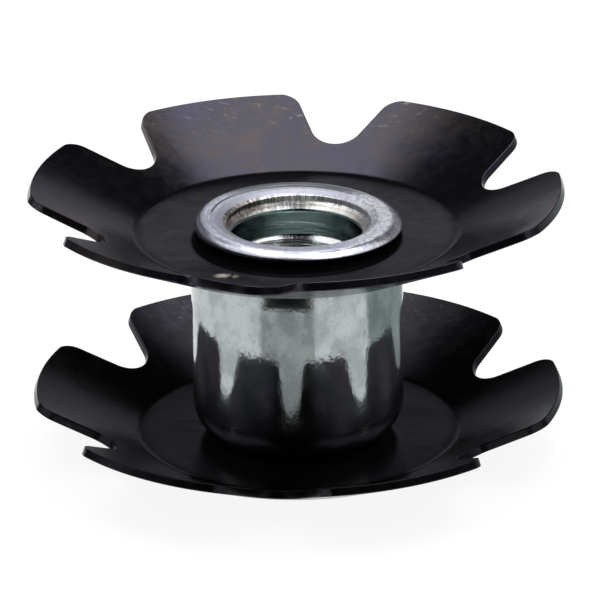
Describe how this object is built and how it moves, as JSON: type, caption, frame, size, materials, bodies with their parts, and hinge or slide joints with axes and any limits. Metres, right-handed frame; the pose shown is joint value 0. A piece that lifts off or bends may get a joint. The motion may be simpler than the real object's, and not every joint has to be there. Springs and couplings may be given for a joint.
{
  "type": "star nut",
  "caption": "Star nut for a fork steerer tube: a threaded steel barrel riveted through an upper and a lower sprung star, whose flared petals grip the inside of the tube.",
  "frame": {"origin": "middle of the lower rolled rim's flat face, on the axis of the bore", "axes": "+Z along the bore, from the lower star to the upper one, the way that the petals flare and the bolt leaves; +X along the middle of one petal of the upper star"},
  "size_m": [0.0248, 0.0246, 0.0132],
  "materials": {
    "zinc_plate": "bright zinc plating, satin, finely scratched",
    "black_spring_steel": "black oxide, semi-gloss, with a brown heat tint on the petals"
  },
  "bodies": {
    "root": {"threaded_barrel": "zinc_plate", "upper_star": "black_spring_steel", "lower_star": "black_spring_steel"}
  },
  "joints": []
}
